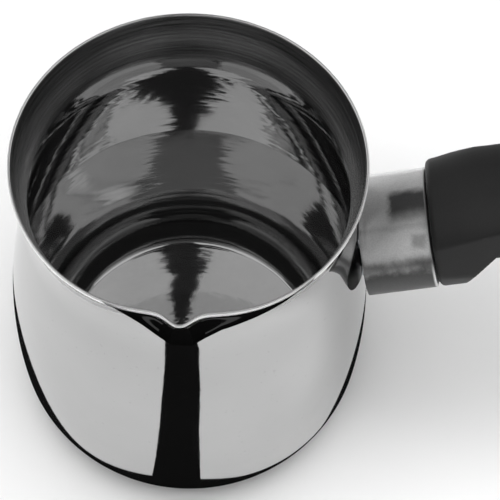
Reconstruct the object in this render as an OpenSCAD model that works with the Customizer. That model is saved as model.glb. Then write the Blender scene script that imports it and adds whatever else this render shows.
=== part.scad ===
// Candle melting pot: spun steel vessel with a pouring lip, and a ferruled handle held by one long bolt.
// Origin: centre of the flat base. +Z up, handle towards +X. Millimetres.

/* [Pot] */
// Outside diameter of the rim
mouth_d = 90; // [88:0.5:92]
// Height of the rim above the base
pot_h = 112; // [110:0.5:114]
// Largest outside diameter, at the belly
belly_d = 98.4; // [97:0.2:100]
// Height of the largest diameter
belly_z = 35; // [33:0.5:37]
// Diameter of the flat base
base_d = 77; // [76:0.5:78]
// Sheet thickness of the vessel
wall = 0.8; // [0.7:0.1:1]

/* [Pouring lip] */
// Direction of the lip around the pot, from the handle
lip_angle = -94; // [-100:1:-88]
// How far the tip of the lip stands out of the round rim
lip_out = 1.5; // [1:0.1:2]
// How far the rim is drawn in on both sides of the tip
lip_pinch = 2; // [1:0.1:2.2]

/* [Handle] */
// Height at which the bolt's line meets the axis of the pot
handle_z = 61.7; // [61:0.1:62.5]
// Rise of the handle
handle_rise = 13; // [12.5:0.5:13.5]
// Distance from the pot's axis to the near end of the ferrule, along the bolt
ferrule_start = 47.3; // [47.2:0.1:47.8]
// Length of the ferrule
ferrule_l = 18.5; // [18:0.5:19]
// Outside width of the ferrule
ferrule_w = 33.8; // [33:0.2:34]
// Outside height of the ferrule
ferrule_h = 23; // [22.6:0.2:24]
// Length of the grip, without its spigot
grip_l = 122; // [115:1:126]
// Diameter of the hole to hang the pot by
hang_d = 10; // [9:0.5:10]

/* [Bolt] */
// Nominal diameter of the bolt
bolt_d = 5; // [5:0.1:5.2]
// Length of the bolt under its head
bolt_l = 80; // [79:0.5:82]

/* [Hidden] */
$fn = 96;

STEEL = [0.78, 0.78, 0.79];
SATIN = [0.68, 0.68, 0.69];
ZINC = [0.62, 0.64, 0.66];
BLACK = [0.12, 0.12, 0.13];
eps = 0.01;

// Vessel outline: three tangent arcs, foot, belly and neck, each [centre, radius].
belly_arc = 220;
foot_arc = 29;
neck_arc = 38;
belly_c = [belly_d / 2 - belly_arc, belly_z];
// The upper or lower meeting point of two circles, for side = 1 or -1
function meet(a, ra, b, rb, side) =
    let (d = norm(b - a), e = (b - a) / d, x = (ra * ra - rb * rb + d * d) / (2 * d),
        h = sqrt(ra * ra - x * x))
    a + e * x + [-e[1], e[0]] * h * side;
foot_c = meet(belly_c, belly_arc - foot_arc, [base_d / 2, 0], foot_arc, 1);
neck_c = meet(belly_c, belly_arc + neck_arc, [mouth_d / 2, pot_h], neck_arc, -1);
// Heights at which the arcs touch each other
foot_top = (belly_c + (foot_c - belly_c) * belly_arc / norm(foot_c - belly_c))[1];
belly_top = (belly_c + (neck_c - belly_c) * belly_arc / norm(neck_c - belly_c))[1];
throat_z = neck_c[1];

// Lip: a narrow bulge less a wide pinch, both fading towards the throat
lip_bulge_angle = 5;
lip_pinch_angle = 20;
collar_turns = 120;
collar_rings = 7;
// The collar's lowest ring stays inside the sheet of the vessel below it
collar_sink = 0.3;
collar_inset = 0.08;

// Handle, along the bolt's line
ferrule_wall = 0.8;
// The ferrule stands off the vessel, and its flange leaves a window for the bracket
ferrule_gap = 0.2;
window_w = 15;
window_h = 20.6;
// Radius of the oval's ends, as a part of its half width
oval_end = 0.56;
ferrule_end = ferrule_start + ferrule_l;
spigot_l = 4;
spigot_gap = 0.2;
bracket_t = 1.5;
bracket_w = 14;
bracket_leg = 5;
bracket_foot = 10;
foot_t = 1.2;
foot_gap = 0.02;
bridge_end = ferrule_end - spigot_l;
nut_af = 8;
nut_h = 4;
washer_d = 10;
washer_t = 1;
lock_d = 9.2;
lock_t = 1.2;
lock_slit = 0.9;
head_d = 9.5;
head_h = 3.2;
slot_w = 1.2;
slot_h = 1.4;
thread_gap = 0.05;
tip_gap = 4;
bolt_start = bridge_end - bracket_t - nut_h - tip_gap / 2;
head_seat = bolt_start + bolt_l;
grip_seat = head_seat - washer_t - lock_t;
shank_bore = bolt_d + 0.5;
access_bore = washer_d + 1;

// Grip outline: distance from the shoulder, half width, centre above the bolt's line, half height
grip_stations = [[0, 17.1, 2, 14.1], [14, 18.2, 4.3, 14.4], [42, 17.2, 5, 13.2], [76, 14.4, 3, 10.8],
    [102, 14.8, 1.2, 10], [115, 13.8, 0.7, 9.7], [122, 11.4, 0.6, 9.2]];
// The shoulder stands off the end of the ferrule
shoulder_gap = 0.4;
shoulder = ferrule_end + shoulder_gap;
front_round = 1.5;
end_round = 4;
grip_power = 2.3;
grip_points = 48;
// Side facets of the grip: slope of their normal, and how deep they cut at both ends of the grip
facet_tilt = 20;
facet_cut = [1, 3.2];
// Lower facets: slope of their normal, and their reach from the bolt's line, which falls behind the shoulder
low_tilt = -35;
low_from = 6.7;
low_reach = [15.5, 8.8];
low_fall = 0.755;
hang_x = grip_l - 15;
hang_face_d = hang_d + 6;
hang_up = 9.8;
hang_down = 7.4;

// Puts its children on the bolt's line: X along the bolt, Z up across it
module on_bolt(x = 0) {
    translate([0, 0, handle_z]) rotate([0, -handle_rise, 0]) translate([x, 0, 0]) children();
}

// Round bar along the bolt's line
module bar(d, l, fn = 48) {
    rotate([0, 90, 0]) cylinder(d = d, h = l, $fn = fn);
}

// Half section of everything within the vessel's outer face moved in by inset, up to the throat
module vessel_half(inset) {
    translate([0, inset]) square([foot_c[0], foot_top - inset]);
    intersection() {
        translate(foot_c) circle(foot_arc - inset, $fn = 180);
        translate([0, inset]) square([belly_d, foot_top - inset]);
    }
    intersection() {
        translate(belly_c) circle(belly_arc - inset, $fn = 720);
        translate([0, foot_top]) square([belly_d, belly_top - foot_top]);
    }
    difference() {
        translate([0, belly_top]) square([neck_c[0], throat_z - belly_top + (inset > 0 ? 1 : 0)]);
        translate(neck_c) circle(neck_arc + inset, $fn = 180);
    }
}

// Outer radius of the collar at a height and a turn
function collar_r(z, a) =
    let (r = neck_c[0] - sqrt(neck_arc * neck_arc - pow(z - neck_c[1], 2)),
        off = (a - lip_angle + 540) % 360 - 180,
        k = pow(max(0, (z - throat_z) / (pot_h - throat_z)), 1.6),
        bulge = exp(-pow(off / lip_bulge_angle, 2)), pinch = exp(-pow(off / lip_pinch_angle, 2)))
    r + k * ((lip_out + lip_pinch) * bulge - lip_pinch * pinch);

function collar_ring(i, inner) =
    let (low = i == 0, z = low ? throat_z - collar_sink : throat_z + (pot_h - throat_z) * i / collar_rings,
        move = inner ? (low ? collar_inset : 0) - wall : (low ? -collar_inset : 0))
    [for (j = [0 : collar_turns - 1])
        let (a = 360 * j / collar_turns, r = collar_r(z, a) + move) [r * cos(a), r * sin(a), z]];

// Flared collar with the pouring lip
module collar() {
    n = collar_turns;
    rings = concat([for (i = [0 : collar_rings]) collar_ring(i, false)],
        [for (i = [collar_rings : -1 : 0]) collar_ring(i, true)]);
    m = len(rings);
    polyhedron(points = [for (ring = rings) each ring],
        faces = [for (i = [0 : m - 1], j = [0 : n - 1])
            let (a = i * n + j, b = i * n + (j + 1) % n, c = ((i + 1) % m) * n + (j + 1) % n,
                d = ((i + 1) % m) * n + j)
            each [[a, c, b], [a, d, c]]]);
}

module pot_body() {
    color(STEEL) union() {
        rotate_extrude($fn = 180) difference() {
            vessel_half(0);
            vessel_half(wall);
        }
        collar();
    }
}

// Plate of the vessel's curvature, lying on its outer face
module saddle_shell() {
    rotate_extrude($fn = 180) intersection() {
        difference() {
            translate(belly_c) circle(belly_arc + foot_gap + foot_t, $fn = 720);
            translate(belly_c) circle(belly_arc + foot_gap, $fn = 720);
        }
        translate([10, belly_z]) square([belly_d, belly_top - belly_z]);
    }
}

// Cuts its children back to a gap from the vessel's upper belly
module outside_pot(gap) {
    difference() {
        children();
        rotate_extrude($fn = 180) intersection() {
            translate(belly_c) circle(belly_arc + gap, $fn = 720);
            translate([0, belly_z]) square([belly_d, belly_top - belly_z]);
        }
    }
}

// U-shaped strap: two legs, two feet welded to the pot, and a bridge with the bolt's hole
module handle_bracket() {
    leg_l = bridge_end - 40;
    color(ZINC) difference() {
        union() {
            for (side = [-1, 1]) {
                outside_pot(foot_gap) on_bolt(40)
                    translate([0, -bracket_w / 2, side > 0 ? bracket_leg : -bracket_leg - bracket_t])
                        cube([leg_l, bracket_w, bracket_t]);
                intersection() {
                    saddle_shell();
                    on_bolt(40) translate([0, -bracket_w / 2, side > 0 ? bracket_leg : -bracket_foot])
                        cube([20, bracket_w, bracket_foot - bracket_leg]);
                }
            }
            on_bolt(bridge_end - bracket_t)
                translate([0, -bracket_w / 2, -bracket_leg - bracket_t])
                    cube([bracket_t, bracket_w, 2 * (bracket_leg + bracket_t)]);
        }
        on_bolt(bridge_end - bracket_t - 1) bar(shank_bore, bracket_t + 2);
    }
}

module weld_nut() {
    color(ZINC) on_bolt(bridge_end - bracket_t - nut_h) difference() {
        rotate([0, 90, 0]) cylinder(d = nut_af / cos(30), h = nut_h, $fn = 6);
        translate([-1, 0, 0]) bar(bolt_d, nut_h + 2);
    }
}

// Four-arc oval of the ferrule's outside, moved in by inset
module oval(inset) {
    a = ferrule_w / 2;
    b = ferrule_h / 2;
    end_r = oval_end * a;
    c = a - end_r;
    // Distance of the flat arcs' centres, from their contact with the end arcs
    d = (c * c - pow(b - end_r, 2)) / (2 * (b - end_r));
    flat_r = b + d;
    reach = flat_r * c / (flat_r - end_r);
    for (x = [-c, c]) translate([x, 0]) circle(end_r - inset, $fn = 96);
    intersection() {
        translate([0, -d]) circle(flat_r - inset, $fn = 180);
        translate([0, d]) circle(flat_r - inset, $fn = 180);
        square([2 * (c + (reach - c) * (end_r - inset) / end_r), 2 * b + 2], center = true);
    }
}

// Oval bar along the bolt's line
module oval_bar(l, inset = 0) {
    rotate([90, 0, 90]) linear_extrude(l) oval(inset);
}

// Drawn oval cup: its bottom is a flange against the pot, open round the bracket
module ferrule() {
    color(SATIN) outside_pot(ferrule_gap) on_bolt(ferrule_start) difference() {
        oval_bar(ferrule_l);
        translate([ferrule_wall, 0, 0]) oval_bar(ferrule_l, ferrule_wall);
        translate([-1, -window_w / 2, -window_h / 2]) cube([ferrule_wall + 2, window_w, window_h]);
    }
}

// Smooth curve through the grip's stations for one measure, k = 1 half width, 2 centre, 3 half height
function slope(i, k) =
    let (s = grip_stations, lo = max(0, i - 1), hi = min(len(s) - 1, i + 1))
    (s[hi][k] - s[lo][k]) / (s[hi][0] - s[lo][0]);
function station(x) = max([for (i = [0 : len(grip_stations) - 2]) if (grip_stations[i][0] <= x || i == 0) i]);
function measure(x, k) =
    let (i = station(x), s = grip_stations, l = s[i + 1][0] - s[i][0], t = (x - s[i][0]) / l,
        t2 = t * t, t3 = t2 * t)
    (2 * t3 - 3 * t2 + 1) * s[i][k] + (t3 - 2 * t2 + t) * l * slope(i, k)
        + (3 * t2 - 2 * t3) * s[i + 1][k] + (t3 - t2) * l * slope(i + 1, k);
// How far the rounded shoulder and end draw the section in
function drawn_in(x) =
    let (f = max(0, front_round - x), e = max(0, x - grip_l + end_round))
    front_round - sqrt(front_round * front_round - f * f) + end_round - sqrt(end_round * end_round - e * e);

function bend(c) = sign(c) * pow(abs(c), 2 / grip_power);
// A point of the section, [across, up], pushed back onto a facet if it is beyond the facet's reach
function facet(p, tilt, reach) =
    let (over = max(0, abs(p[0]) * cos(tilt) + p[1] * sin(tilt) - reach))
    [p[0] - sign(p[0]) * over * cos(tilt), p[1] - over * sin(tilt)];
// One point of the grip's section: an oval, cut by an upper and a lower facet on each side
function grip_point(x, a) =
    let (in = drawn_in(x), centre = measure(x, 2),
        oval = [(measure(x, 1) - in) * bend(cos(a)), (measure(x, 3) - in) * bend(sin(a))],
        cut = facet_cut[0] + (facet_cut[1] - facet_cut[0]) * min(1, x / 40),
        side_reach = norm([measure(x, 1) * cos(facet_tilt), measure(x, 3) * sin(facet_tilt)])
            + 0.4 - cut - in * 0.9,
        under_reach = max(low_reach[1], low_reach[0] - low_fall * (x - low_from)) - in * 0.9,
        p = facet(facet(oval, facet_tilt, side_reach) + [0, centre], low_tilt, under_reach))
    [x, p[0], p[1]];

// Distances of the grip's rings: close together where it is round and where the lower facets begin
low_until = low_from + (low_reach[0] - low_reach[1]) / low_fall;
grip_xs = concat([for (t = [0 : 22.5 : 67.5]) front_round * (1 - cos(t))], [front_round, low_from / 2],
    [for (i = [0 : 4]) low_from + (low_until - low_from) * i / 4],
    [for (i = [1 : 11]) low_until + (grip_l - end_round - low_until) * i / 11],
    [for (t = [22.5 : 22.5 : 90]) grip_l - end_round + (end_round - 0.3) * sin(t)]);
grip_rings = len(grip_xs) - 1;

// Moulded body of the grip, without its bores
module grip_blank() {
    n = grip_points;
    rings = [for (i = [0 : grip_rings]) [for (j = [0 : n - 1]) grip_point(grip_xs[i], 360 * (j + 0.5) / n)]];
    last = grip_rings * n;
    front = last + n;
    back = front + 1;
    polyhedron(
        points = concat([for (ring = rings) each ring],
            [[grip_xs[0], 0, grip_stations[0][2]], [grip_xs[grip_rings], 0, measure(grip_l, 2)]]),
        faces = concat(
            [for (i = [0 : grip_rings - 1], j = [0 : n - 1])
                let (a = i * n + j, b = i * n + (j + 1) % n, c = a + n, d = b + n)
                each [[a, d, b], [a, c, d]]],
            [for (j = [0 : n - 1]) [front, j, (j + 1) % n]],
            [for (j = [0 : n - 1]) [back, last + (j + 1) % n, last + j]]));
}

module grip() {
    color(BLACK) difference() {
        union() {
            on_bolt(shoulder) grip_blank();
            on_bolt(bridge_end) oval_bar(spigot_l + 2, ferrule_wall + spigot_gap);
        }
        on_bolt(bridge_end - 1) bar(shank_bore, grip_seat - bridge_end + 2);
        on_bolt(grip_seat) bar(access_bore, shoulder + grip_l - grip_seat + 1);
        on_bolt(shoulder + hang_x) {
            translate([0, 0, -30]) cylinder(d = hang_d, h = 60);
            translate([0, 0, hang_up]) cylinder(d = hang_face_d, h = 20);
            translate([0, 0, -hang_down - 20]) cylinder(d = hang_face_d, h = 20);
        }
    }
}

module flat_washer() {
    color(ZINC) on_bolt(grip_seat) difference() {
        bar(washer_d, washer_t);
        translate([-1, 0, 0]) bar(bolt_d + 0.3, washer_t + 2);
    }
}

// Split lock washer
module spring_washer() {
    color(ZINC) on_bolt(grip_seat + washer_t) difference() {
        bar(lock_d, lock_t);
        translate([-1, 0, 0]) bar(bolt_d + 0.2, lock_t + 2);
        translate([-1, -lock_slit / 2, 0]) cube([lock_t + 2, lock_slit, lock_d]);
    }
}

// Slotted cheese-head bolt
module tie_bolt() {
    color(ZINC) on_bolt(bolt_start) difference() {
        union() {
            bar(bolt_d - 2 * thread_gap, bolt_l + eps);
            translate([bolt_l, 0, 0]) bar(head_d, head_h);
        }
        translate([bolt_l + head_h - slot_h, -slot_w / 2, -head_d]) cube([slot_h + 1, slot_w, 2 * head_d]);
    }
}

pot_body();
handle_bracket();
weld_nut();
ferrule();
grip();
flat_washer();
spring_washer();
tie_bolt();
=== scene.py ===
import math

import bpy
from mathutils import Matrix, Vector


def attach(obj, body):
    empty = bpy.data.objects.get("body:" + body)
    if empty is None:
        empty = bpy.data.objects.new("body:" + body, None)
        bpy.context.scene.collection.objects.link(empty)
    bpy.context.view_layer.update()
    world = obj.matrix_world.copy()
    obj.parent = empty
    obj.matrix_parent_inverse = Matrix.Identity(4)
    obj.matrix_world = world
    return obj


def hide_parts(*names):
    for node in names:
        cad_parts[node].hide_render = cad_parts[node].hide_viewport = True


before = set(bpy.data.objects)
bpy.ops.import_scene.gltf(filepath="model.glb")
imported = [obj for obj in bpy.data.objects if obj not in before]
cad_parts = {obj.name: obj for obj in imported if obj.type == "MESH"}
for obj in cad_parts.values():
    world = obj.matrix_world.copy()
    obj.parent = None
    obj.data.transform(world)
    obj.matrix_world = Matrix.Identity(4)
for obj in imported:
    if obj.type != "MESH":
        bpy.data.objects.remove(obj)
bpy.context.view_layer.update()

MM = 0.001

# ---------------------------------------------------------------- sizes, in millimetres as on the drawing
WALL = 0.8
MOUTH_R = 45.0
POT_H = 112.0
BELLY_R, BELLY_Z, BELLY_ARC = 49.2, 35.0, 220.0
BASE_R, FOOT_ARC = 38.5, 29.0
NECK_ARC = 38.0
LIP_ANGLE, LIP_OUT, LIP_PINCH = -94.0, 1.5, 2.0
LIP_BULGE_DEG, LIP_PINCH_DEG, LIP_POWER = 5.0, 20.0, 1.6
LIP_HOLLOW, LIP_HOLLOW_DEG = 1.6, 26.0

HANDLE_Z, HANDLE_RISE = 61.7, 13.0
FERRULE_START, FERRULE_L, FERRULE_W, FERRULE_H = 47.3, 18.5, 33.8, 23.0
FERRULE_WALL, OVAL_END = 0.8, 0.56
FERRULE_GAP, WINDOW_W, WINDOW_H = 0.2, 15.0, 20.6
SHOULDER = FERRULE_START + FERRULE_L + 0.4
# The bolt pulls the bracket, the nut welded to it and the grip with its spigot together
SPIGOT_L, SPIGOT_GAP = 4.0, 0.2
BRACKET_T, NUT_H, BOLT_TIP = 1.5, 4.0, 2.0
BOLT_L, WASHERS_T = 80.0, 2.2
GRIP_L = 122.0
# Grip outline: distance from the shoulder, half width, centre above the bolt's line, half height
GRIP_STATIONS = [(0, 17.1, 2, 14.1), (14, 18.2, 4.3, 14.4), (42, 17.2, 5, 13.2), (76, 14.4, 3, 10.8),
                 (102, 14.8, 1.2, 10), (115, 13.8, 0.7, 9.7), (122, 11.4, 0.6, 9.2)]
# Small steps back: wall and grip end stay inside the CAD part's box, the spigot clear of the sleeve
WALL_EASE, END_EASE, SPIGOT_EASE = 0.003, 0.005, 0.2


# ---------------------------------------------------------------- helpers
def new_mesh(name, points, faces, smooth=True):
    """A mesh object from points in millimetres."""
    mesh = bpy.data.meshes.new(name)
    mesh.from_pydata([tuple(c * MM for c in p) for p in points], [], faces)
    mesh.update()
    for polygon in mesh.polygons:
        polygon.use_smooth = smooth
    obj = bpy.data.objects.new(name, mesh)
    bpy.context.scene.collection.objects.link(obj)
    return obj


def ring_faces(rings, turns, closed=True):
    """Quads between successive rings of one mesh, and from the last ring to the first if closed."""
    faces = []
    for i in range(rings if closed else rings - 1):
        for j in range(turns):
            a, b = i * turns + j, i * turns + (j + 1) % turns
            c, d = ((i + 1) % rings) * turns + (j + 1) % turns, ((i + 1) % rings) * turns + j
            faces.append((a, b, c, d))
    return faces


def capped_faces(rings, turns):
    """Quads between successive rings, with one face over each end."""
    last = (rings - 1) * turns
    caps = [tuple(reversed(range(turns))), tuple(range(last, last + turns))]
    return ring_faces(rings, turns, closed=False) + caps


def dress(obj, material, node):
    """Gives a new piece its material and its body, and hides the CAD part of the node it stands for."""
    obj.data.materials.append(material)
    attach(obj, "root")
    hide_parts(node)


class Nodes:
    """Short way to write a material's node tree."""

    def __init__(self, name):
        self.material = bpy.data.materials.new(name)
        self.material.use_nodes = True
        self.tree = self.material.node_tree
        self.shader = self.tree.nodes["Principled BSDF"]

    def add(self, kind, **settings):
        """New node with its settings."""
        node = self.tree.nodes.new(kind)
        for key, value in settings.items():
            setattr(node, key, value)
        return node

    def link(self, source, target):
        """Joins an output to an input."""
        self.tree.links.new(source, target)

    def feed(self, socket, value):
        """Connects a socket, or sets it if value is a number or a tuple."""
        if isinstance(value, bpy.types.NodeSocket):
            self.link(value, socket)
        else:
            socket.default_value = value

    def math(self, operation, a, b=0.0):
        """Result of a sum with one or two numbers."""
        node = self.add("ShaderNodeMath", operation=operation)
        self.feed(node.inputs[0], a)
        self.feed(node.inputs[1], b)
        return node.outputs[0]

    def vector(self, operation, a, b=(0, 0, 0), scale=None):
        """Result of a sum with one or two vectors; only SCALE takes a scale."""
        node = self.add("ShaderNodeVectorMath", operation=operation)
        self.feed(node.inputs[0], a)
        self.feed(node.inputs[1], b)
        if scale is not None:
            self.feed(node.inputs["Scale"], scale)
        return node.outputs[0]

    def combine(self, x, y, z):
        """Vector or colour from three numbers."""
        node = self.add("ShaderNodeCombineXYZ")
        for socket, value in zip(node.inputs, (x, y, z)):
            self.feed(socket, value)
        return node.outputs[0]

    def place(self):
        """Place in the object's own frame, in metres."""
        return self.add("ShaderNodeTexCoord").outputs["Object"]

    def split(self, vector):
        """The x, y and z of a vector."""
        node = self.add("ShaderNodeSeparateXYZ")
        self.link(vector, node.inputs[0])
        return node.outputs[0], node.outputs[1], node.outputs[2]

    def blend(self, share, a, b):
        """Share of a and the rest of b."""
        return self.math("ADD", self.math("MULTIPLY", a, share), self.math("MULTIPLY", b, 1 - share))

    def noise(self, vector, scale, detail=2.0, roughness=0.5):
        """Cloudy noise from 0 to 1, finer with a greater scale."""
        node = self.add("ShaderNodeTexNoise")
        self.link(vector, node.inputs["Vector"])
        node.inputs["Scale"].default_value = scale
        node.inputs["Detail"].default_value = detail
        node.inputs["Roughness"].default_value = roughness
        return node.outputs["Fac"]

    def ramp(self, value, low, high, to_low=0.0, to_high=1.0, smooth=False):
        """Maps a value from one range to another, and holds it there beyond the ends."""
        node = self.add("ShaderNodeMapRange")
        node.interpolation_type = "SMOOTHSTEP" if smooth else "LINEAR"
        self.feed(node.inputs[0], value)
        for socket, number in zip(node.inputs[1:5], (low, high, to_low, to_high)):
            socket.default_value = number
        return node.outputs[0]

    def over(self, length, low_mm, high_mm, *to, smooth=False):
        """Ramp between two millimetre marks on a length in metres."""
        return self.ramp(length, low_mm * MM, high_mm * MM, *to, smooth=smooth)

    def mix(self, factor, a, b):
        """Goes from a to b as the factor goes from 0 to 1."""
        node = self.add("ShaderNodeMix", data_type="FLOAT")
        self.feed(node.inputs[0], factor)
        self.feed(node.inputs[2], a)
        self.feed(node.inputs[3], b)
        return node.outputs[0]

    def grey(self, value):
        """Colour without hue."""
        return self.combine(value, value, value)

    def bump(self, height, strength, distance, normal=None):
        """Normal bent by a height, on top of another normal if one is given."""
        node = self.add("ShaderNodeBump")
        node.inputs["Strength"].default_value = strength
        node.inputs["Distance"].default_value = distance
        self.link(height, node.inputs["Height"])
        if normal is not None:
            self.link(normal, node.inputs["Normal"])
        return node.outputs[0]


# ---------------------------------------------------------------- the vessel
def meeting(a, ra, b, rb, side):
    """Upper (side 1) or lower (side -1) meeting point of two circles."""
    d = math.dist(a, b)
    e = ((b[0] - a[0]) / d, (b[1] - a[1]) / d)
    x = (ra * ra - rb * rb + d * d) / (2 * d)
    h = math.sqrt(ra * ra - x * x) * side
    return a[0] + e[0] * x - e[1] * h, a[1] + e[1] * x + e[0] * h


BELLY_C = (BELLY_R - BELLY_ARC, BELLY_Z)
FOOT_C = meeting(BELLY_C, BELLY_ARC - FOOT_ARC, (BASE_R, 0), FOOT_ARC, 1)
NECK_C = meeting(BELLY_C, BELLY_ARC + NECK_ARC, (MOUTH_R, POT_H), NECK_ARC, -1)
FOOT_TURN = math.atan2(FOOT_C[1] - BELLY_C[1], FOOT_C[0] - BELLY_C[0])
NECK_TURN = math.atan2(NECK_C[1] - BELLY_C[1], NECK_C[0] - BELLY_C[0])
THROAT_Z = NECK_C[1]
TURNS = 480
RIM_ROUND, RIM_OUT = 0.38, 0.08
FLOOR_FILLET = 0.9
FLOOR_STEPS = (0.04, 0.2, 0.4, 0.6, 0.8, 0.93, 0.985)


def arc(centre, radius, start, end, steps):
    """Points of an arc, without its last one."""
    turns = [start + (end - start) * i / steps for i in range(steps)]
    return [(centre[0] + radius * math.cos(t), centre[1] + radius * math.sin(t)) for t in turns]


def wall_profile(inset):
    """Half section of the wall from the floor's edge to the rim, moved in by inset."""
    foot = FOOT_ARC - inset
    start = -math.asin((FOOT_C[1] - inset) / foot)
    reach = FOOT_C[0] + foot * math.cos(start)
    top = math.asin((POT_H - RIM_ROUND - NECK_C[1]) / (NECK_ARC + inset))
    points = arc(FOOT_C, foot, start, FOOT_TURN, 34)
    points += arc(BELLY_C, BELLY_ARC - inset, FOOT_TURN, NECK_TURN, 40)
    points += arc(NECK_C, NECK_ARC + inset, NECK_TURN + math.pi, math.pi - top, 34)
    return reach, points


def lip_shift(z, turn):
    """How far the lip moves the wall outwards at a height and a turn in degrees."""
    off = (turn - LIP_ANGLE + 540) % 360 - 180
    bulge, pinch, hollow = (math.exp(-(off / w) ** 2) for w in (LIP_BULGE_DEG, LIP_PINCH_DEG, LIP_HOLLOW_DEG))
    level = max(0.0, (z - THROAT_Z) / (POT_H - THROAT_Z))
    # Beside the lip the neck is hollowed, so that it flares more sharply at the rim
    drawn = LIP_HOLLOW * hollow * level * level * (1 - level)
    return level ** LIP_POWER * ((LIP_OUT + LIP_PINCH) * bulge - LIP_PINCH * pinch) - drawn


def make_vessel(outside, inside):
    """Spun vessel: outer face, rounded rim, inner face and both floors, as one closed skin."""
    outer_reach, outer = wall_profile(0)
    inner_reach, inner = wall_profile(WALL)
    middle_r = (outer[-1][0] + inner[-1][0]) / 2 + RIM_OUT
    rim = arc((middle_r, POT_H - RIM_ROUND), RIM_ROUND, 0, math.pi, 8)
    under = [(outer_reach * s, 0) for s in FLOOR_STEPS]
    # A small fillet turns the flat floor into the foot
    inner = [p for p in inner if math.dist(p, (inner_reach, WALL)) > FLOOR_FILLET]
    knee = inner[0]
    floor_edge = (inner_reach - FLOOR_FILLET, WALL)
    corner = (inner_reach, WALL)
    fillet = []
    for i in range(1, 6):
        t = i / 6
        shares = ((1 - t) ** 2, 2 * t * (1 - t), t * t)
        course = list(zip(shares, (knee, corner, floor_edge)))
        fillet.append(tuple(sum(share * point[k] for share, point in course) for k in (0, 1)))
    over = [floor_edge] + [(floor_edge[0] * s, WALL) for s in reversed(FLOOR_STEPS)]
    profile = under + outer + rim + inner[::-1] + fillet + over
    inner_from = len(under) + len(outer) + len(rim) // 2
    points = []
    for r, z in profile:
        for j in range(TURNS):
            turn = 360 * j / TURNS
            reach = r - WALL_EASE + lip_shift(z, turn)
            points.append((reach * math.cos(math.radians(turn)), reach * math.sin(math.radians(turn)), z))
    pot = new_mesh("vessel", points, capped_faces(len(profile), TURNS))
    dress(pot, outside, "pot_body")
    pot.data.materials.append(inside)
    for polygon in pot.data.polygons:
        polygon.material_index = 1 if polygon.index // TURNS >= inner_from else 0
    # The last face but one closes the underside, and the last one the floor inside
    pot.data.polygons[len(pot.data.polygons) - 2].material_index = 0


# ---------------------------------------------------------------- the handle
ON_BOLT = Matrix.Translation((0, 0, HANDLE_Z)) @ Matrix.Rotation(math.radians(-HANDLE_RISE), 4, "Y")


def on_bolt(points):
    """Moves points from the bolt's frame, X along it and Z up across it, to the pot's frame."""
    return [tuple(ON_BOLT @ Vector(p)) for p in points]


def oval_ring(half_w, half_h, steps):
    """Four-arc oval as (y, z) points, with the same rule as the sleeve's drawing."""
    end_r = OVAL_END * FERRULE_W / 2 + half_w - FERRULE_W / 2
    c = half_w - end_r
    d = (c * c - (half_h - end_r) ** 2) / (2 * (half_h - end_r))
    flat_r = half_h + d
    break_angle = math.atan2(d, c)
    ring = []
    for j in range(steps):
        t = 2 * math.pi * j / steps
        quadrant = math.atan2(abs(math.sin(t)), abs(math.cos(t)))
        if quadrant < break_angle:
            y, z = c + end_r * math.cos(quadrant), end_r * math.sin(quadrant)
        else:
            y, z = flat_r * math.cos(quadrant), flat_r * math.sin(quadrant) - d
        ring.append((math.copysign(y, math.cos(t)), math.copysign(z, math.sin(t))))
    return ring


def clear_of_belly(x, y, z):
    """Moves a point of the sleeve along the bolt's line until it is clear of the vessel."""
    for _ in range(40):
        place = ON_BOLT @ Vector((x, y, z))
        belly = BELLY_C[0] + math.sqrt(BELLY_ARC ** 2 - (place.z - BELLY_Z) ** 2)
        short = belly + FERRULE_GAP - math.hypot(place.x, place.y)
        if short <= 0.001:
            break
        x += short
    return x, y, z


def make_ferrule(material):
    """Drawn oval cup with a flange at the pot and a turned-over lip at the grip."""
    steps = 160
    # Radius of the edge at the pot and of the lip at the grip
    edge, lip = 0.25, 0.5
    half_w, half_h = FERRULE_W / 2, FERRULE_H / 2
    # Distance from the pot's end and inset from the outside, once round the wall's section
    profile = [(edge * (1 - math.cos(t)), edge * (1 - math.sin(t)))
               for t in (math.pi / 8 * i for i in range(5))]
    profile += [(x, 0) for x in (1, 3, 6, 9, 12, 14.5, 16.4)]
    profile += [(FERRULE_L - lip * (1 - math.sin(t)), lip * (1 - math.cos(t)))
                for t in (math.pi / 12 * i for i in range(7))]
    profile += [(FERRULE_L - 0.02, FERRULE_WALL), (FERRULE_L / 2, FERRULE_WALL), (FERRULE_WALL, FERRULE_WALL)]
    sections = [[(x, y, z) for y, z in oval_ring(half_w - inset, half_h - inset, steps)]
                for x, inset in profile]
    # The flange leaves a window for the bracket
    for x in (FERRULE_WALL, 0.0):
        ring = []
        for j in range(steps):
            t = 2 * math.pi * j / steps
            k = min(WINDOW_W / 2 / max(1e-6, abs(math.cos(t))), WINDOW_H / 2 / max(1e-6, abs(math.sin(t))))
            ring.append((x, k * math.cos(t), k * math.sin(t)))
        sections.append(ring)
    points = [clear_of_belly(FERRULE_START + x, y, z) for ring in sections for x, y, z in ring]
    ferrule = new_mesh("ferrule_sleeve", on_bolt(points), ring_faces(len(sections), steps))
    ferrule.data.set_sharp_from_angle(angle=math.radians(50))
    dress(ferrule, material, "ferrule")


def grip_measure(x, k):
    """Smooth value of one measure of the grip at a distance from its shoulder."""
    s = GRIP_STATIONS

    def slope(i):
        low, high = max(0, i - 1), min(len(s) - 1, i + 1)
        return (s[high][k] - s[low][k]) / (s[high][0] - s[low][0])

    i = max(j for j in range(len(s) - 1) if s[j][0] <= x or j == 0)
    length = s[i + 1][0] - s[i][0]
    t = (x - s[i][0]) / length
    return ((2 * t ** 3 - 3 * t ** 2 + 1) * s[i][k] + (t ** 3 - 2 * t ** 2 + t) * length * slope(i)
            + (3 * t ** 2 - 2 * t ** 3) * s[i + 1][k] + (t ** 3 - t ** 2) * length * slope(i + 1))


SHOULDER_ROUND, END_ROUND = 1.5, 4.0
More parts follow.
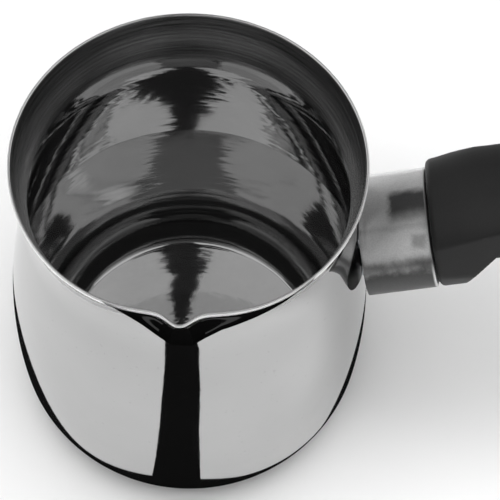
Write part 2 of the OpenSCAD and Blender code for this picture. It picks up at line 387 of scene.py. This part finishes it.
# Upper facets: how far they cut into the oval at the shoulder and from FACET_GROWN on, less FACET_EASE
FACET_TILT = math.radians(20)
FACET_CUT = (1.0, 3.2)
FACET_GROWN, FACET_EASE = 40.0, 0.4
# A facet is drawn in by this share of what the section is
DRAWN_SHARE = 0.9
# Lower facets: they begin behind the shoulder, and their reach from the bolt's line falls to its least
LOW_TILT = math.radians(-35)
LOW_FROM, LOW_FALL = 6.7, 0.755
LOW_REACH = (15.5, 8.8)
LOW_UNTIL = LOW_FROM + (LOW_REACH[0] - LOW_REACH[1]) / LOW_FALL
# The full oval is a superellipse of this power, drawn in all over by the skin
GRIP_POWER = 2.3
SKIN = 0.06


def facet(u, w, tilt, reach):
    """Pushes a point of the section back onto a facet if it is beyond the facet's reach."""
    over = max(0.0, abs(u) * math.cos(tilt) + w * math.sin(tilt) - reach)
    return u - math.copysign(over * math.cos(tilt), u), w - over * math.sin(tilt)


def grip_point(x, a):
    """One point of the grip's section: a full oval cut by an upper and a lower facet on each side."""
    front, end = max(0.0, SHOULDER_ROUND - x), max(0.0, x - GRIP_L + END_ROUND)
    drawn = (SHOULDER_ROUND - math.sqrt(SHOULDER_ROUND ** 2 - front ** 2)
             + END_ROUND - math.sqrt(max(0.0, END_ROUND ** 2 - end ** 2)) + SKIN)
    half, centre, tall = (grip_measure(x, k) for k in (1, 2, 3))

    def bend(c):
        return math.copysign(abs(c) ** (2 / GRIP_POWER), c)

    cut = FACET_CUT[0] + (FACET_CUT[1] - FACET_CUT[0]) * min(1, x / FACET_GROWN)
    back = drawn * DRAWN_SHARE
    oval_reach = math.hypot(half * math.cos(FACET_TILT), tall * math.sin(FACET_TILT))
    u, w = (half - drawn) * bend(math.cos(a)), (tall - drawn) * bend(math.sin(a))
    u, w = facet(u, w, FACET_TILT, oval_reach + FACET_EASE - cut - back)
    low_reach = max(LOW_REACH[1], LOW_REACH[0] - LOW_FALL * (x - LOW_FROM)) - back
    u, z = facet(u, centre + w, LOW_TILT, low_reach)
    return SHOULDER + x - END_EASE * end, u, z


def turned(profile, steps=64):
    """Closed solid of revolution about X from (x, radius) points, as points and faces."""
    points = [(x, r * math.cos(2 * math.pi * j / steps), r * math.sin(2 * math.pi * j / steps))
              for x, r in profile for j in range(steps)]
    return points, capped_faces(len(profile), steps)


def quarter(first):
    """Turns from 0 to 90 degrees in six steps, from step first on."""
    return [math.pi / 2 * i / 6 for i in range(first, 7)]


def cut_away(obj, cutters):
    """Applies exact differences and removes the cutters."""
    for cutter in cutters:
        modifier = obj.modifiers.new("cut", "BOOLEAN")
        modifier.operation, modifier.solver, modifier.object = "DIFFERENCE", "EXACT", cutter
    graph = bpy.context.evaluated_depsgraph_get()
    mesh = bpy.data.meshes.new_from_object(obj.evaluated_get(graph))
    obj.modifiers.clear()
    obj.data = mesh
    for cutter in cutters:
        bpy.data.objects.remove(cutter)


SPIGOT_START = FERRULE_START + FERRULE_L - SPIGOT_L
BOLT_START = SPIGOT_START - BRACKET_T - NUT_H - BOLT_TIP
GRIP_SEAT = BOLT_START + BOLT_L - WASHERS_T
SHANK_HOLE_R, HEAD_HOLE_R = 2.75, 5.5
HOLE_ROUND = 1.0
# Hanging hole: its place, the heights of its two faces, its radius, and the radius and reach of the cut
# beyond the faces
HANG_X = SHOULDER + GRIP_L - 15
HANG_UP, HANG_DOWN = 9.8, 7.4
HANG_R, HANG_FACE_R, HANG_CUT = 5.0, 8.0, 30


def make_grip(material):
    """Moulded grip with its spigot, the stepped bore for the bolt and the hole to hang it by."""
    steps = 144
    # Sections stand close together in both rounds and where the lower facets grow
    xs = [SHOULDER_ROUND * (1 - math.cos(math.pi / 2 * i / 9)) for i in range(9)]
    xs += [SHOULDER_ROUND + (LOW_FROM - SHOULDER_ROUND) * i / 8 for i in range(8)]
    xs += [LOW_FROM + (LOW_UNTIL - LOW_FROM) * i / 24 for i in range(24)]
    xs += [LOW_UNTIL + (GRIP_L - END_ROUND - LOW_UNTIL) * i / 60 for i in range(61)]
    xs += [GRIP_L - END_ROUND + (END_ROUND - 0.05) * math.sin(math.pi / 2 * i / 9) for i in range(1, 10)]
    points = on_bolt([grip_point(x, 2 * math.pi * (j + 0.5) / steps) for x in xs for j in range(steps)])
    grip = new_mesh("handle_grip", points, capped_faces(len(xs), steps))

    half_w, half_h = (side / 2 - FERRULE_WALL - SPIGOT_GAP for side in (FERRULE_W, FERRULE_H))
    ring = oval_ring(half_w - SPIGOT_EASE, half_h - SPIGOT_EASE, 120)
    points = on_bolt([(x, y, z) for x in (SPIGOT_START, SHOULDER + 2) for y, z in ring])
    spigot = new_mesh("spigot", points, capped_faces(2, len(ring)))
    modifier = grip.modifiers.new("spigot", "BOOLEAN")
    modifier.operation, modifier.solver, modifier.object = "UNION", "EXACT", spigot

    end = SHOULDER + GRIP_L
    bore = [(SPIGOT_START - 1, SHANK_HOLE_R), (GRIP_SEAT, SHANK_HOLE_R), (GRIP_SEAT + 0.001, HEAD_HOLE_R),
            (end - HOLE_ROUND, HEAD_HOLE_R)]
    bore += [(end - HOLE_ROUND + HOLE_ROUND * math.sin(t), HEAD_HOLE_R + HOLE_ROUND * (1 - math.cos(t)))
             for t in quarter(1)]
    bore.append((end + 2, HEAD_HOLE_R + HOLE_ROUND))
    bore_points, bore_faces = turned(bore)
    cutters = [new_mesh("bore", on_bolt(bore_points), bore_faces)]
    hole = [(-HANG_CUT, HANG_FACE_R), (-HANG_DOWN, HANG_FACE_R)]
    hole += [(-HANG_DOWN + HOLE_ROUND * math.sin(t), HANG_R + HOLE_ROUND * (1 - math.sin(t)))
             for t in quarter(0)]
    hole += [(HANG_UP - HOLE_ROUND + HOLE_ROUND * (1 - math.cos(t)), HANG_R + HOLE_ROUND * (1 - math.cos(t)))
             for t in quarter(0)]
    hole += [(HANG_UP, HANG_FACE_R), (HANG_CUT, HANG_FACE_R)]
    hole_points, hole_faces = turned(hole)
    upright = [(HANG_X - z, y, x) for x, y, z in hole_points]
    cutters.append(new_mesh("hang", on_bolt(upright), hole_faces))
    cut_away(grip, cutters)
    bpy.data.objects.remove(spigot)
    grip.data.set_sharp_from_angle(angle=math.radians(28))
    grip.data.materials.clear()
    dress(grip, material, "grip")


# ---------------------------------------------------------------- materials
# Heights where the vessel's surface changes, each as the start and the end of a blend: the extra lean and
# the duller mirror end at the crease, the satin band starts under the rim, and the rim's edge has a painted
# highlight
LEAN_END, DULL_END = (51.2, 51.6), (50.8, 51.2)
SATIN_START = (96.2, 97.2)
RIM_PAINTED_HIGHLIGHT_OUT, RIM_PAINTED_HIGHLIGHT_IN = (110.1, 110.6), (111.2, 111.6)


def polished_outside():
    """Mirror-polished sheet with faint smears, fine hairlines and a few specks."""
    n = Nodes("polished_outside")
    place = n.place()
    height = n.split(place)[2]
    hair = n.noise(n.vector("MULTIPLY", place, (260, 260, 26)), 9.0, 3.0)
    smear = n.noise(place, 34.0, 3.0, 0.55)
    speck = n.ramp(n.noise(place, 900.0, 1.0), 0.72, 0.77)
    tone = n.ramp(smear, 0.3, 0.7, 0.425, 0.455)
    tone = n.math("SUBTRACT", tone, n.math("MULTIPLY", speck, 0.05))
    # The turned edge of the rim is satin and gets a painted highlight: a far paler tone
    edge = n.over(height, *RIM_PAINTED_HIGHLIGHT_OUT)
    tone = n.mix(edge, tone, 0.97)
    n.link(n.grey(tone), n.shader.inputs["Base Color"])
    n.shader.inputs["Metallic"].default_value = 1.0
    haze = n.ramp(n.blend(0.7, smear, hair), 0.3, 0.7, 0.025, 0.07)
    n.link(n.mix(edge, haze, 0.5), n.shader.inputs["Roughness"])
    n.link(n.bump(hair, 0.05, 0.00004, n.bump(smear, 0.25, 0.0002)), n.shader.inputs["Normal"])
    return n.material


def polished_inside():
    """Inside of the vessel: satin band under the rim, a mirror with lathe marks, duller near the foot."""
    n = Nodes("polished_inside")
    place = n.place()
    x, y, z = n.split(place)
    turn = n.math("ARCTAN2", y, x)
    radius = n.math("SQRT", n.math("ADD", n.math("MULTIPLY", x, x), n.math("MULTIPLY", y, y)))
    normal = n.add("ShaderNodeNewGeometry").outputs["Normal"]
    across = n.math("ADD", z, radius)

    def marks(along, pitch_mm, offset):
        """Noise that is long in the turning direction and changes every pitch across it."""
        pitches = n.math("MULTIPLY", across, 1000.0 / pitch_mm)
        return n.noise(n.combine(n.math("MULTIPLY", turn, along), pitches, offset), 1.0, 2.0, 0.6)

    # Lathe marks turn the mirror a little to either side
    fine, coarse = marks(5.0, 1.2, 0.0), marks(1.5, 3.2, 3.0)
    swing = n.math("ADD", n.math("MULTIPLY", n.math("SUBTRACT", fine, 0.5), 0.12),
                   n.math("MULTIPLY", n.math("SUBTRACT", coarse, 0.5), 0.045))
    sideways = n.combine(n.math("MULTIPLY", n.math("SINE", turn), -1.0), n.math("COSINE", turn), 0.0)
    # Below the crease the wall leans a little more, down to the foot
    lean = n.math("MULTIPLY", n.over(z, *LEAN_END, 1.0, 0.0), n.over(z, 22, 32, 0.0, 0.045))
    # The floor's far part is dished a little to either side
    left = n.math("MULTIPLY", n.ramp(turn, 1.64, 1.75, 0.0, 0.068), n.ramp(turn, 1.86, 2.10, 1.0, 0.0))
    right = n.math("MULTIPLY", n.ramp(turn, 1.379, 1.466, 0.034, 0.0), n.ramp(turn, 1.15, 1.25))
    far_floor = n.math("MULTIPLY", n.over(z, 0.9, 1.2, 1.0, 0.0), n.over(y, 22, 28))
    dish = n.math("MULTIPLY", n.math("SUBTRACT", right, left), far_floor)
    step = n.vector("ADD", n.vector("SCALE", sideways, scale=swing), n.combine(dish, 0.0, lean))
    normal = n.vector("NORMALIZE", n.vector("ADD", normal, step))
    # Tone and roughness: satin band, duller part, turned streaks, grain and clouds
    satin = n.over(z, *SATIN_START, smooth=True)
    dull = n.over(z, *DULL_END, 1.0, 0.0)
    drawn_out = n.combine(n.math("MULTIPLY", turn, 1.6), n.math("MULTIPLY", z, 1500.0), 7.0)
    streak = n.noise(drawn_out, 1.0, 4.0, 0.7)
    grain = n.noise(place, 700.0, 2.0)
    cloud = n.ramp(n.noise(place, 30.0, 3.0), 0.3, 0.7, 0.55, 0.62)
    bright = n.math("ADD", cloud, n.math("MULTIPLY", n.math("SUBTRACT", grain, 0.5), 0.06))
    # Painted reflection: near the foot the wall's tone steps in rings, standing in for the bands that the
    # curved foot mirrors
    foot = n.mix(n.over(z, 13, 17), n.over(z, 1, 2.5, 1.03, 0.8), 1.2)
    # Painted reflection: a darker turned band above the thin bright line at the foot, standing in for a dark
    # ring that the curved foot mirrors
    foot = n.math("MULTIPLY", foot, n.mix(n.over(z, 6, 6.6), 1.0, n.over(z, 10.5, 12.5, 0.5, 1.0)))
    bright = n.math("MULTIPLY", bright, n.mix(dull, 0.95, foot))
    tone = n.mix(satin, bright, n.ramp(streak, 0.32, 0.68, 0.26, 0.64))
    # Painted highlight: the rim's inner edge is given a far paler tone
    tone = n.mix(n.over(z, *RIM_PAINTED_HIGHLIGHT_IN), tone, 0.9)
    n.link(n.grey(tone), n.shader.inputs["Base Color"])
    n.shader.inputs["Metallic"].default_value = 0.984
    mirror = n.mix(dull, n.ramp(fine, 0.3, 0.7, 0.02, 0.05), n.ramp(fine, 0.3, 0.7, 0.05, 0.09))
    rough = n.mix(satin, mirror, n.ramp(streak, 0.3, 0.7, 0.17, 0.27))
    n.link(rough, n.shader.inputs["Roughness"])
    height = n.math("MULTIPLY", n.math("ADD", streak, n.math("MULTIPLY", grain, 0.2)), satin)
    n.link(n.bump(height, 0.5, 0.00005, normal), n.shader.inputs["Normal"])
    return n.material


def satin_sleeve():
    """Satin steel with smudgy tone, darker patches in set places, a painted shade on the near underside and
    an even edge at the grip.
    """
    n = Nodes("satin_sleeve")
    place = n.place()
    x, y, z = n.split(place)
    rise = math.radians(HANDLE_RISE)
    # From metres in the pot's frame to millimetres along and across the bolt's line
    x, y, up = (n.math("MULTIPLY", value, 1000.0) for value in (x, y, n.math("SUBTRACT", z, HANDLE_Z * MM)))
    along = n.math("ADD", n.math("MULTIPLY", x, math.cos(rise)), n.math("MULTIPLY", up, math.sin(rise)))
    along = n.math("SUBTRACT", along, FERRULE_START)
    up = n.math("SUBTRACT", n.math("MULTIPLY", up, math.cos(rise)), n.math("MULTIPLY", x, math.sin(rise)))
    smudge = n.noise(place, 95.0, 3.0, 0.55)
    wander = n.math("MULTIPLY", n.math("SUBTRACT", n.noise(place, 260.0, 4.0, 0.6), 0.5), 5.0)
    grain = n.noise(place, 2600.0, 2.0)

    def patch(s_from, s_to, y_from, y_to, soft, near_soft):
        """Soft patch between two distances from the pot's end and two places across."""
        s, w = n.math("ADD", along, wander), n.math("ADD", y, n.math("MULTIPLY", wander, 0.5))
        sides = [n.ramp(s, s_from - soft, s_from + soft, smooth=True),
                 n.ramp(s, s_to - soft, s_to + soft, 1.0, 0.0, True),
                 n.ramp(w, y_from - near_soft, y_from + near_soft, smooth=True),
                 n.ramp(w, y_to - soft, y_to + soft, 1.0, 0.0, True)]
        value = sides[0]
        for side in sides[1:]:
            value = n.math("MULTIPLY", value, side)
        return value

    tone = n.ramp(n.blend(0.6, smudge, grain), 0.3, 0.7, 0.68, 0.96)
    dark = n.math("MULTIPLY", patch(8.5, 22.0, -2.6, 5.2, 1.4, 3.0), 0.82)
    dark = n.math("MAXIMUM", dark, n.math("MULTIPLY", patch(13.5, 17.5, -11.0, -7.6, 1.0, 1.2), 0.42))
    dark = n.math("MAXIMUM", dark, n.math("MULTIPLY", patch(-5.0, 22.0, -6.0, -4.6, 0.8, 1.2), 0.2))
    # Painted shade: the near side is darkened towards its bottom, as if it mirrored a dark floor
    under = n.ramp(n.math("ADD", up, n.math("MULTIPLY", wander, 0.9)), 3.8, 9.0, 1.0, 0.0, True)
    under = n.math("MULTIPLY", under, n.ramp(y, -11.0, -8.0, 1.0, 0.0))
    dark = n.math("MAXIMUM", dark, n.math("MULTIPLY", under, 0.9))
    edge = n.ramp(along, FERRULE_L - 0.9, FERRULE_L - 0.4)
    tone = n.mix(edge, n.math("MULTIPLY", tone, n.math("SUBTRACT", 1.0, dark)), 0.6)
    n.link(n.grey(tone), n.shader.inputs["Base Color"])
    n.shader.inputs["Metallic"].default_value = 1.0
    n.link(n.ramp(smudge, 0.3, 0.7, 0.30, 0.42), n.shader.inputs["Roughness"])
    n.link(n.bump(grain, 0.3, 0.00003, n.bump(smudge, 0.3, 0.0003)), n.shader.inputs["Normal"])
    return n.material


def zinc_steel():
    """Plated steel of the inner pieces, faintly mottled."""
    n = Nodes("zinc_plate")
    spangle = n.noise(n.place(), 320.0, 3.0)
    tones = ((0.46, 0.6), (0.48, 0.62), (0.51, 0.66))
    colours = [n.ramp(spangle, 0.3, 0.7, low, high) for low, high in tones]
    n.link(n.combine(*colours), n.shader.inputs["Base Color"])
    n.shader.inputs["Metallic"].default_value = 1.0
    n.link(n.ramp(spangle, 0.3, 0.7, 0.28, 0.45), n.shader.inputs["Roughness"])
    n.link(n.bump(spangle, 0.3, 0.00005), n.shader.inputs["Normal"])
    return n.material


def black_phenolic():
    """Moulded black phenolic: matte, with a fine grain and faint flow marks."""
    n = Nodes("black_phenolic")
    place = n.place()
    grain = n.noise(place, 1500.0, 3.0, 0.6)
    flow = n.noise(n.vector("MULTIPLY", place, (0.35, 1, 1)), 60.0, 3.0)
    tone = n.ramp(n.blend(0.5, grain, flow), 0.3, 0.7, 0.007, 0.011)
    n.link(n.grey(tone), n.shader.inputs["Base Color"])
    n.link(n.ramp(flow, 0.3, 0.7, 0.42, 0.54), n.shader.inputs["Roughness"])
    n.shader.inputs["Specular IOR Level"].default_value = 0.34
    n.link(n.bump(grain, 0.35, 0.00006, n.bump(flow, 0.2, 0.0002)), n.shader.inputs["Normal"])
    return n.material


def plain(name, grey, glow=0.0):
    """Matte grey surface of the studio, which may glow white."""
    n = Nodes(name)
    n.shader.inputs["Base Color"].default_value = (grey, grey, grey, 1)
    n.shader.inputs["Roughness"].default_value = 1.0
    n.shader.inputs["Specular IOR Level"].default_value = 0.0
    if glow:
        n.shader.inputs["Emission Color"].default_value = (1, 1, 1, 1)
        n.shader.inputs["Emission Strength"].default_value = glow
    return n.material


# ---------------------------------------------------------------- the studio
def stage_sheet(name, points, material, faces=None):
    """Sheet of the studio from points in millimetres: one face, or the faces given."""
    sheet = new_mesh(name, points, faces or [tuple(range(len(points)))], smooth=False)
    sheet.data.materials.append(material)
    return sheet


def flat(outline, height, scale=1):
    """Points of a level outline at a height."""
    return [(scale * a, scale * b, height) for a, b in outline]


def only_reflected(obj):
    """Shows a card in reflections alone, as a studio's cards stand outside the picture."""
    obj.visible_camera = False
    obj.visible_diffuse = False
    obj.visible_shadow = False
    obj.visible_transmission = False


def circle(radius, steps=96):
    """Points of a circle about the pot."""
    turns = [2 * math.pi * i / steps for i in range(steps)]
    return [(radius * math.cos(t), radius * math.sin(t)) for t in turns]


def ring_wall(name, radius, low, high, material):
    """Upright wall all round the pot, between two heights."""
    ring = circle(radius)
    steps = len(ring)
    faces = [(j, steps + j, steps + (j + 1) % steps, (j + 1) % steps) for j in range(steps)]
    return stage_sheet(name, flat(ring, low) + flat(ring, high), material, faces)


def neck_ribbon(name, course, near, far, up, material):
    """Ribbon that follows the neck between two distances from it, through points on the neck.

    Each point of the course is a turn from the lip in degrees and a height.
    """
    parts = 6
    ribbon = []
    for (off_a, z_a), (off_b, z_b) in zip(course, course[1:]):
        for k in range(parts):
            turn = LIP_ANGLE + off_a + (off_b - off_a) * k / parts
            z = z_a + (z_b - z_a) * k / parts
            reach = NECK_C[0] - math.sqrt(NECK_ARC ** 2 - (z - NECK_C[1]) ** 2) + lip_shift(z, turn)
            for r in (reach + near, reach + far):
                ribbon.append((r * math.cos(math.radians(turn)), r * math.sin(math.radians(turn)), z + up))
    quads = [(2 * k, 2 * k + 1, 2 * k + 3, 2 * k + 2) for k in range(len(ribbon) // 2 - 1)]
    only_reflected(stage_sheet(name, ribbon, material, quads))


def disk_light(name, place, size, watts):
    """Round lamp that looks at the pot's foot and is not seen in the steel."""
    light = bpy.data.lights.new(name, "AREA")
    light.shape, light.size, light.energy = "DISK", size, watts
    lamp = bpy.data.objects.new(name, light)
    lamp.location = place
    lamp.rotation_mode = "QUATERNION"
    lamp.rotation_quaternion = Vector(place).to_track_quat("Z", "Y")
    lamp.visible_glossy = False
    lamp.visible_camera = False
    bpy.context.scene.collection.objects.link(lamp)


FLOOR_R, BACKDROP_H = 2500, 3000
HORIZON_R, HORIZON_H = 2400, 720
# Height of the soft boxes, which is also the unit of their outlines, and of the dim panel behind them
BOX_H = 1500
DIM_H = BOX_H + 20
PAPER, BLACK, WORLD_GREY = 0.86, 0.008, 0.010


def make_floor_cards(black):
    """Black cards on the floor: one around the foot that stands in for the shade there, one strip in front of
    the lip.
    """
    # Painted shade: the card around the foot is a black sheet, seen only in the steel, where the floor round
    # the foot is only shaded
    turns = [2 * math.pi * i / 144 for i in range(144)]
    reach = [60.5 + 3.5 * math.cos(4 * t) for t in turns]
    foot = [(-2 + r * math.cos(t), 8 + r * math.sin(t)) for r, t in zip(reach, turns)]
    only_reflected(stage_sheet("foot_shade_card", flat(foot, 0.3), black))
    strip = [(-14, -45), (-20, -75), (-27, -108), (-36, -153), (-95, -420), (30, -420), (9, -153), (8, -125),
             (4, -87), (2, -45)]
    only_reflected(stage_sheet("strip_card", flat(strip, 0.4), black))


def make_lip_cards(black):
    """A dark ribbon held close before the lip, which the neck above it mirrors, with two paler streaks."""
    # Turn from the lip and height of the points that the ribbon passes
    course = [(-26, 112.5), (-23, 110.5), (-19, 106.2), (-12.3, 101.2), (-6.7, 96.4), (-3.5, 93.5), (4, 93.5),
              (8.5, 97.1), (13.8, 100.2), (21.2, 102.0), (29.8, 103.7), (36, 105), (42, 108), (46, 112.5)]
    neck_ribbon("lip_card", course, 0.05, 6.0, 0.0, black)
    streak = plain("streak_card", 0.0, glow=0.08)
    neck_ribbon("lip_streak", course[1:5], 1.1, 1.5, 0.2, streak)
    neck_ribbon("lip_streak_2", course[7:13], 0.9, 1.25, 0.2, streak)


def make_overhead():
    """Two soft boxes with the gap that the camera looks through, and a dim panel behind the gap."""
    glow = plain("soft_box", 0.0, glow=0.64)
    right = [(0.336, 0.253), (0.257, 0.137), (0.203, -0.035), (0.197, -0.155), (0.105, -0.31), (0.082, -0.38),
             (0.074, -0.43), (0.11, -0.47), (0.157, -0.53), (0.157, -1.0), (5.0, -1.6), (5.0, 3.4),
             (1.267, 1.544), (0.935, 1.059), (0.612, 0.617), (0.42, 0.43)]
    left = [(-0.208, 0.132), (-0.131, -0.12), (-0.115, -0.214), (-0.079, -0.311), (-0.074, -0.384),
            (-0.06, -0.436), (-0.045, -0.55), (-0.003, -0.79), (0.02, -0.95), (0.02, -1.0), (-5.0, -1.6),
            (-5.0, 3.2), (-1.367, 1.5), (-0.74, 0.943), (-0.355, 0.44)]
    for name, outline in (("soft_box_right", right), ("soft_box_left", left)):
        only_reflected(stage_sheet(name, flat(outline, BOX_H, BOX_H), glow))
    back = [(-0.15, 0.32), (0.2, 0.32), (1.0, 0.9), (1.6, 1.4), (1.6, 2.6), (-1.6, 2.6), (-1.6, 1.5),
            (-0.9, 0.9)]
    only_reflected(stage_sheet("dim_back", flat(back, DIM_H, BOX_H), plain("dim_panel", 0.0, glow=0.2)))


def make_studio():
    """Paper floor and backdrop, the cards and boxes that the steel mirrors, the key light and the world."""
    stage_sheet("studio_floor", flat(circle(FLOOR_R), 0), plain("floor_paper", PAPER))
    black = plain("black_card", BLACK)
    paper = plain("backdrop_paper", PAPER, glow=0.82)
    backdrop = ring_wall("studio_backdrop", FLOOR_R, -1, BACKDROP_H, paper)
    backdrop.visible_glossy = backdrop.visible_diffuse = backdrop.visible_shadow = False
    make_floor_cards(black)
    make_lip_cards(black)
    make_overhead()
    # A bright card behind the sleeve lights its far side
    sleeve_card = [(40, 90, 70), (130, 90, 70), (130, 90, 142), (40, 90, 142)]
    only_reflected(stage_sheet("sleeve_card", sleeve_card, plain("bright_card", 0.0, glow=0.45)))
    # A pale horizon all round, so that the steel mirrors a room from every side
    horizon = plain("horizon_panel", 0.0, glow=0.6)
    only_reflected(ring_wall("horizon_card", HORIZON_R, 2, HORIZON_H, horizon))
    disk_light("key", (0.0, -0.2, 2.2), 2.6, 80)
    world = bpy.data.worlds.new("studio")
    bpy.context.scene.world = world
    world.use_nodes = True
    world.node_tree.nodes["Background"].inputs[0].default_value = (WORLD_GREY, WORLD_GREY, WORLD_GREY, 1)


def make_camera():
    """Camera above the front of the pot, looking down at it; its distance is in millimetres."""
    lens, sensor = 129.48, 36.0
    distance, height_angle = 443.0, math.radians(58.134)
    pitch, yaw, roll, turn = (math.radians(v) for v in (61.035, 1.916, 0.676, -0.5))
    place = Vector((0, -distance * math.cos(height_angle), POT_H + distance * math.sin(height_angle)))
    # Rows are the picture's right, down and ahead
    low, level = math.sin(pitch), math.cos(pitch)
    base = Matrix(((1, 0, 0), (0, -low, -level), (0, level, -low)))
    swing = Matrix(((math.cos(yaw), 0, -math.sin(yaw)), (0, 1, 0), (math.sin(yaw), 0, math.cos(yaw))))
    tilt = Matrix(((math.cos(roll), math.sin(roll), 0), (-math.sin(roll), math.cos(roll), 0), (0, 0, 1)))
    right, down, ahead = tilt @ swing @ base
    frame_turn = Matrix.Rotation(turn, 3, "Z")
    data = bpy.data.cameras.new("camera")
    data.lens, data.sensor_width = lens, sensor
    data.clip_start, data.clip_end = 0.02, 50
    camera = bpy.data.objects.new("camera", data)
    bpy.context.scene.collection.objects.link(camera)
    axes = Matrix((frame_turn @ right, frame_turn @ -down, frame_turn @ -ahead)).transposed()
    camera.matrix_world = Matrix.Translation(frame_turn @ place * MM) @ axes.to_4x4()
    bpy.context.scene.camera = camera


# ---------------------------------------------------------------- the whole scene
make_camera()
make_studio()
make_vessel(polished_outside(), polished_inside())
make_ferrule(satin_sleeve())
make_grip(black_phenolic())
plate = zinc_steel()
for name in ("handle_bracket", "weld_nut", "flat_washer", "spring_washer", "tie_bolt"):
    for material_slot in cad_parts[name].material_slots:
        material_slot.material = plate
bpy.context.scene.view_settings.view_transform = "Standard"
